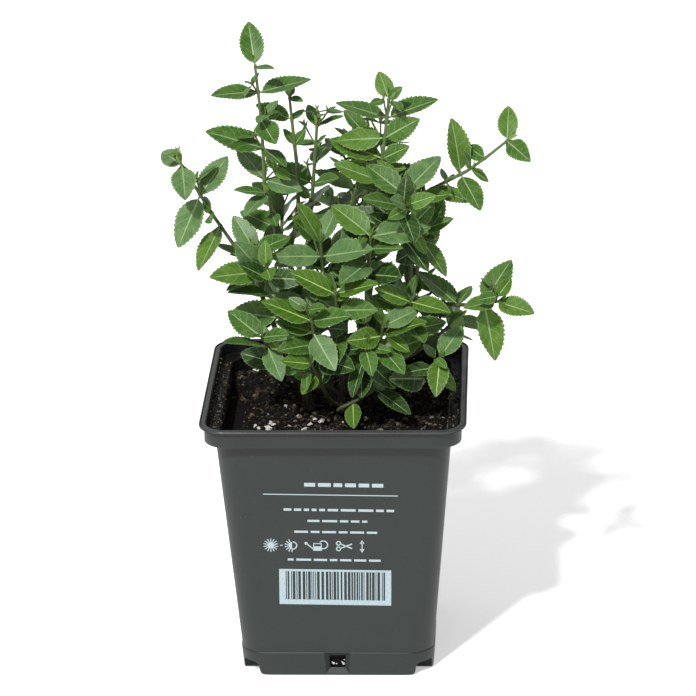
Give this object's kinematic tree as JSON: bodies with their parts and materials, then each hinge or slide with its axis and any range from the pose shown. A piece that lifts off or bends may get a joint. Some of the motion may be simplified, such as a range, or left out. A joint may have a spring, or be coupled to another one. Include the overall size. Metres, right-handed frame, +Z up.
{
  "type": "potted wintercreeper shrub",
  "caption": "Small upright evergreen shrub with thin leafy shoots and pointed oval leaves in pairs, rooted in peat in a tapered square plastic nursery pot with a flanged rim.",
  "frame": {"origin": "middle of the pot's flat underside", "axes": "+Z up along the pot's middle, -Y towards the front, the side of the pot that carries the label, +X to the right of someone who looks at that side"},
  "size_m": [0.1261, 0.1041, 0.2191],
  "materials": {
    "pot_plastic": "satin moulded polypropylene, dark green grey",
    "peat": "loose dark peat with white perlite",
    "old_bark": "rough brown bark",
    "green_bark": "smooth green young bark",
    "foliage": "leathery leaves with a soft sheen and pale veins",
    "print": "pale matt label and printed marks"
  },
  "bodies": {
    "root": {"pot": "pot_plastic", "soil": "peat", "stem_back": "old_bark", "stem_front": "old_bark", "stem_left": "old_bark", "stem_middle": "old_bark", "stem_right": "old_bark", "stem_tall": "old_bark", "back_left_bough": "green_bark", "back_left_low_bough": "green_bark", "back_middle_bough": "green_bark", "back_right_bough": "green_bark", "back_right_low_bough": "green_bark", "centre_bough": "green_bark", "centre_left_bough": "green_bark", "foot_low_bough": "green_bark", "foot_right_bough": "green_bark", "fork_back_bough": "green_bark", "front_right_bough": "green_bark", "front_small_bough": "green_bark", "left_front_bough": "green_bark", "left_middle_bough": "green_bark", "low_front_left_bough": "green_bark", "low_right_bough": "green_bark", "middle_right_bough": "green_bark", "right_front_bough": "green_bark", "right_low_bough": "green_bark", "right_side_bough": "green_bark", "tall_back_bough": "green_bark", "tall_front_bough": "green_bark", "upper_middle_bough": "green_bark", "back_left": "foliage", "back_left_low": "foliage", "back_middle": "foliage", "back_right": "foliage", "back_right_low": "foliage", "back_top": "foliage", "centre": "foliage", "centre_left": "foliage", "foot_low": "foliage", "foot_right": "foliage", "fork_back": "foliage", "front_middle": "foliage", "front_right": "foliage", "front_small": "foliage", "left_front": "foliage", "left_middle": "foliage", "left_reach": "foliage", "low_front_left": "foliage", "low_right": "foliage", "middle_right": "foliage", "right_front": "foliage", "right_low": "foliage", "right_reach": "foliage", "right_side": "foliage", "tall_back": "foliage", "tall_front": "foliage", "tall_left": "foliage", "top_right": "foliage", "upper_middle": "foliage"}
  },
  "joints": []
}
